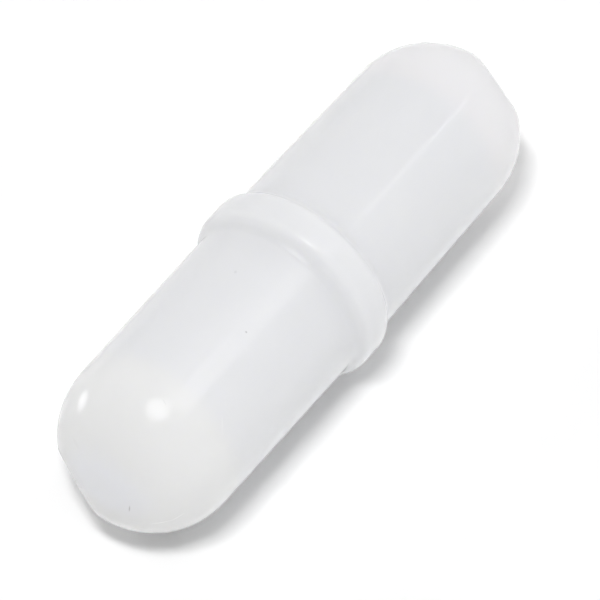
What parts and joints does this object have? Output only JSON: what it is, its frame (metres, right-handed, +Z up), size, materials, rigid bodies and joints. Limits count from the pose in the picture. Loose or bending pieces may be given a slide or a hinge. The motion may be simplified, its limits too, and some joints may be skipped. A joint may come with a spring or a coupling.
{
  "type": "magnetic stir bar",
  "caption": "Round-ended rod of white fluoropolymer sealed around a bar magnet, with a raised pivot ring about its middle, for stirring a liquid over a rotating magnetic field.",
  "frame": {"origin": "on the surface that the bar lies on, straight below the middle of the pivot ring", "axes": "+X runs along the bar's axis, which lies level; +Z is up"},
  "size_m": [0.025, 0.008, 0.008],
  "materials": {
    "ptfe": "smooth semi-gloss, slightly translucent white PTFE",
    "cast_magnet": "ground grey cast alloy with faint lengthwise grinding lines"
  },
  "bodies": {
    "root": {"ptfe_jacket": "ptfe", "magnet_core": "cast_magnet"}
  },
  "joints": []
}
